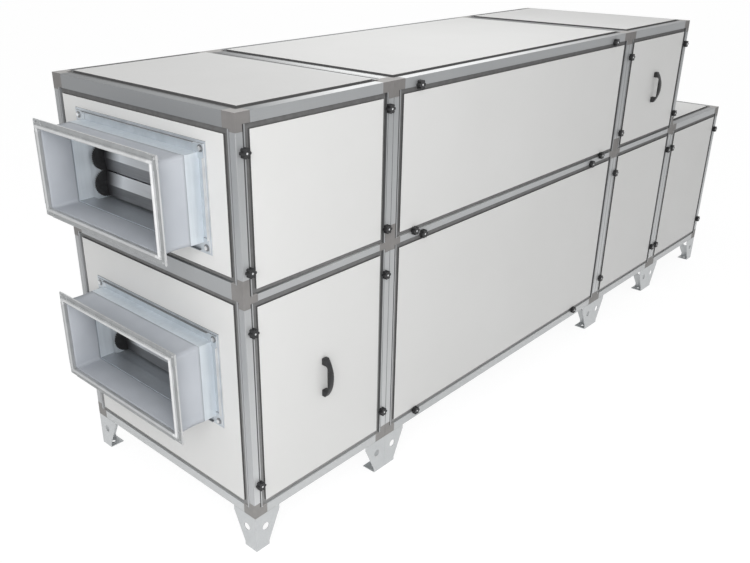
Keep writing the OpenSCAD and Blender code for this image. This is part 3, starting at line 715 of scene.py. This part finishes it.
def flange_bolts(name, flange_boxes, normal, washer, bolt):
    """Bolts on the corner plates of the base flanges."""
    bm = bmesh.new()
    for low, high in flange_boxes:
        face_x = low[0] + CORNER_PLATE_BACK if normal < 0 else high[0] - CORNER_PLATE_BACK
        for y in (low[1] + BOLT_INSET, high[1] - BOLT_INSET):
            for z in (low[2] + BOLT_INSET, high[2] - BOLT_INSET):
                add_bolt(bm, Vector((face_x, y, z)), (normal, 0, 0))
    piece = add_piece(name, bm, washer)
    piece.data.materials.append(bolt)


# Cloth sleeves

SLEEVE_CUTS = 23
SLEEVE_ROWS = 14
CLOTH_T = 1.2 * MM
DRAW_IN = 7 * MM
CORNER_SHARE = 0.35
WAIST_POWER = 0.8
WALL_POWER = 6


def ripple(y, z):
    """Unevenness of the draw-in round the duct, about 1."""
    return 1 + 0.25 * math.sin(31 * y + 23 * z) + 0.15 * math.sin(67 * y - 41 * z)


def wall_share(place, uneven):
    """Share of the draw-in at a place across a wall, whose corners are at -1 and 1 and draw in least."""
    return CORNER_SHARE + (1 - CORNER_SHARE) * max(0.0, 1 - abs(place) ** WALL_POWER) * uneven


def draw_in(verts, low, high):
    """Pulls a sleeve's walls in towards the duct's axis, most at half its length."""
    centre = middle((low, high))
    half_y, half_z = (high[1] - low[1]) / 2, (high[2] - low[2]) / 2
    for v in verts:
        along = (v.co.x - low[0]) / (high[0] - low[0])
        waist = DRAW_IN * max(0.0, math.sin(math.pi * along)) ** WAIST_POWER
        off_y, off_z = v.co.y - centre.y, v.co.z - centre.z
        uneven = ripple(v.co.y, v.co.z)
        if abs(abs(off_y) - half_y) < SAME_PLACE:
            v.co.y -= math.copysign(waist * wall_share(off_z / half_z, uneven), off_y)
        if abs(abs(off_z) - half_z) < SAME_PLACE:
            v.co.z -= math.copysign(waist * wall_share(off_y / half_y, uneven), off_z)


def add_sleeve(bm, low, high):
    """Tube of cloth round a duct, drawn in between its two metal ends."""
    earlier = len(bm.verts)
    corners = [bm.verts.new((low[0], y, z)) for y, z in
               ((low[1], low[2]), (high[1], low[2]), (high[1], high[2]), (low[1], high[2]))]
    loop = [bm.edges.new((corners[k], corners[(k + 1) % 4])) for k in range(4)]
    bmesh.ops.subdivide_edges(bm, edges=loop, cuts=SLEEVE_CUTS)
    bm.verts.ensure_lookup_table()
    edges = list({e for v in bm.verts[earlier:] for e in v.link_edges})
    for _ in range(SLEEVE_ROWS):
        grown = bmesh.ops.extrude_edge_only(bm, edges=edges)["geom"]
        row = [g for g in grown if isinstance(g, bmesh.types.BMVert)]
        bmesh.ops.translate(bm, verts=row, vec=((high[0] - low[0]) / SLEEVE_ROWS, 0, 0))
        edges = [g for g in grown if isinstance(g, bmesh.types.BMEdge)
                 and abs(g.verts[0].co.x - g.verts[1].co.x) < SAME_PLACE]
    bm.verts.ensure_lookup_table()
    draw_in(bm.verts[earlier:], low, high)


def cloth_sleeves(name, boxes, node, outside, lining):
    """Cloth in place of a node's plain sleeves: one strip round each duct, held at both ends."""
    bm = bmesh.new()
    for low, high in boxes:
        add_sleeve(bm, low, high)
    sleeve = add_piece(name, bm, outside, smooth=True)
    sleeve.data.materials.append(lining)
    cloth = sleeve.modifiers.new("cloth", "SOLIDIFY")
    cloth.thickness = CLOTH_T
    cloth.offset = -1
    cloth.material_offset = 1
    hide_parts(node)
    low, high = boxes[0]
    around = 2 * (high[1] - low[1] + high[2] - low[2])
    len(boxes) * around
    high[0] - low[0]


# Assembly

set_camera()
set_world(level=0.55, backdrop=1.0)
make_floor(shadow_share=0.2, glow_level=1.12)
area_light("key", at=(-4.15, -2.85, 2.6), target=(-1.6, -0.3, 0.8), size=3.2, watts=103)
area_light("overhead", at=(-0.3, 0.1, 3.0), target=(-0.3, 0.1, 1.5), size=1.6, watts=10)
area_light("far", at=(1.65, 0.05, 1.55), target=(1.65, 0.05, 1.0), size=0.5, watts=1.2)

front_white = panel_coat("front_white", axis=1, level=0.742)
end_white = panel_coat("end_white", axis=0, level=0.750)
roof_white = panel_coat("roof_white", axis=2, level=0.742, painted_shade_to=JOINTS[0])
profile = drawn_aluminium()
plastic = moulded_grey()
rubber = seal_rubber()
knob_black = black_moulding("knob_black", grain_scale=900, rough=0.38)
gear_black = black_moulding("gear_black", grain_scale=700, rough=0.5)
feet_zinc = feet_sheet()
mouth_zinc = flange_zinc("mouth_zinc", (0.30, 0.31, 0.315), (0.37, 0.38, 0.385), has_mouth=True)
base_zinc = flange_zinc("base_zinc", (0.475, 0.515, 0.55), (0.565, 0.605, 0.645), has_mouth=False)
duct_zinc = duct_sheet()
blade_metal = mill_blade()
screw_metal = plated_steel("screw_metal", (0.62, 0.63, 0.64), (0.80, 0.81, 0.82))
# dark washers: painted shadow round the bolt heads
washer_shadow_metal = plated_steel("washer_shadow_metal", (0.20, 0.205, 0.21), (0.30, 0.305, 0.31))
sleeve_cloth = coated_cloth("sleeve_cloth", floor_shade_share=0.0)
sleeve_lining = coated_cloth("sleeve_lining", floor_shade_share=0.12)

dress(front_white, nodes_with("front_panel", "back_panel"))
dress(end_white, nodes_with("end_panel"))
dress(roof_white, nodes_with("roof_panel"))
dress(profile, nodes_with("frame_"))
dress(plastic, nodes_with("corner_pieces"))
dress(rubber, nodes_with("seals"))
dress(knob_black, nodes_with("knobs", "handles"))
dress(gear_black, nodes_with("_gear_"))
dress(feet_zinc, nodes_with("feet", "base_panels"))
dress(duct_zinc, nodes_with("casing", "stubs"))
dress(mouth_zinc, nodes_with("duct_flange", "right_flanges"))
dress(base_zinc, nodes_with("base_flange"))
dress(blade_metal, nodes_with("_blade_"))
dress(sleeve_cloth, nodes_with("sleeve"))

soften(1.2 * MM, nodes_with("panel"))
soften(0.8 * MM, nodes_with("corner_pieces", "frame_", "feet", "flange"))
soften(1.5 * MM, nodes_with("knobs"))
soften(3.0 * MM, nodes_with("handles"))
soften(0.6 * MM, nodes_with("_gear_", "_blade_"))

knob_screws(screw_metal)
left_flanges = [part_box(f"{deck}_base_flange") for deck in DECKS]
right_flanges = [at_right_end(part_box(f"{deck}_base_flange"), RIGHT_END_X[deck]) for deck in DECKS]
flange_bolts("inlet_bolts", left_flanges, -1, washer_shadow_metal, screw_metal)
flange_bolts("outlet_bolts", right_flanges, 1, washer_shadow_metal, screw_metal)

for deck in DECKS:
    cloth_sleeves(f"{deck}_cloth_sleeve", [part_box(f"{deck}_sleeve")], f"{deck}_sleeve",
                  sleeve_cloth, sleeve_lining)
right_sleeves = [at_right_end(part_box(f"{deck}_sleeve"), RIGHT_END_X[deck]) for deck in DECKS]
cloth_sleeves("right_cloth_sleeves", right_sleeves, "right_sleeves",
              sleeve_cloth, sleeve_lining)

bpy.context.scene.view_settings.view_transform = "Standard"
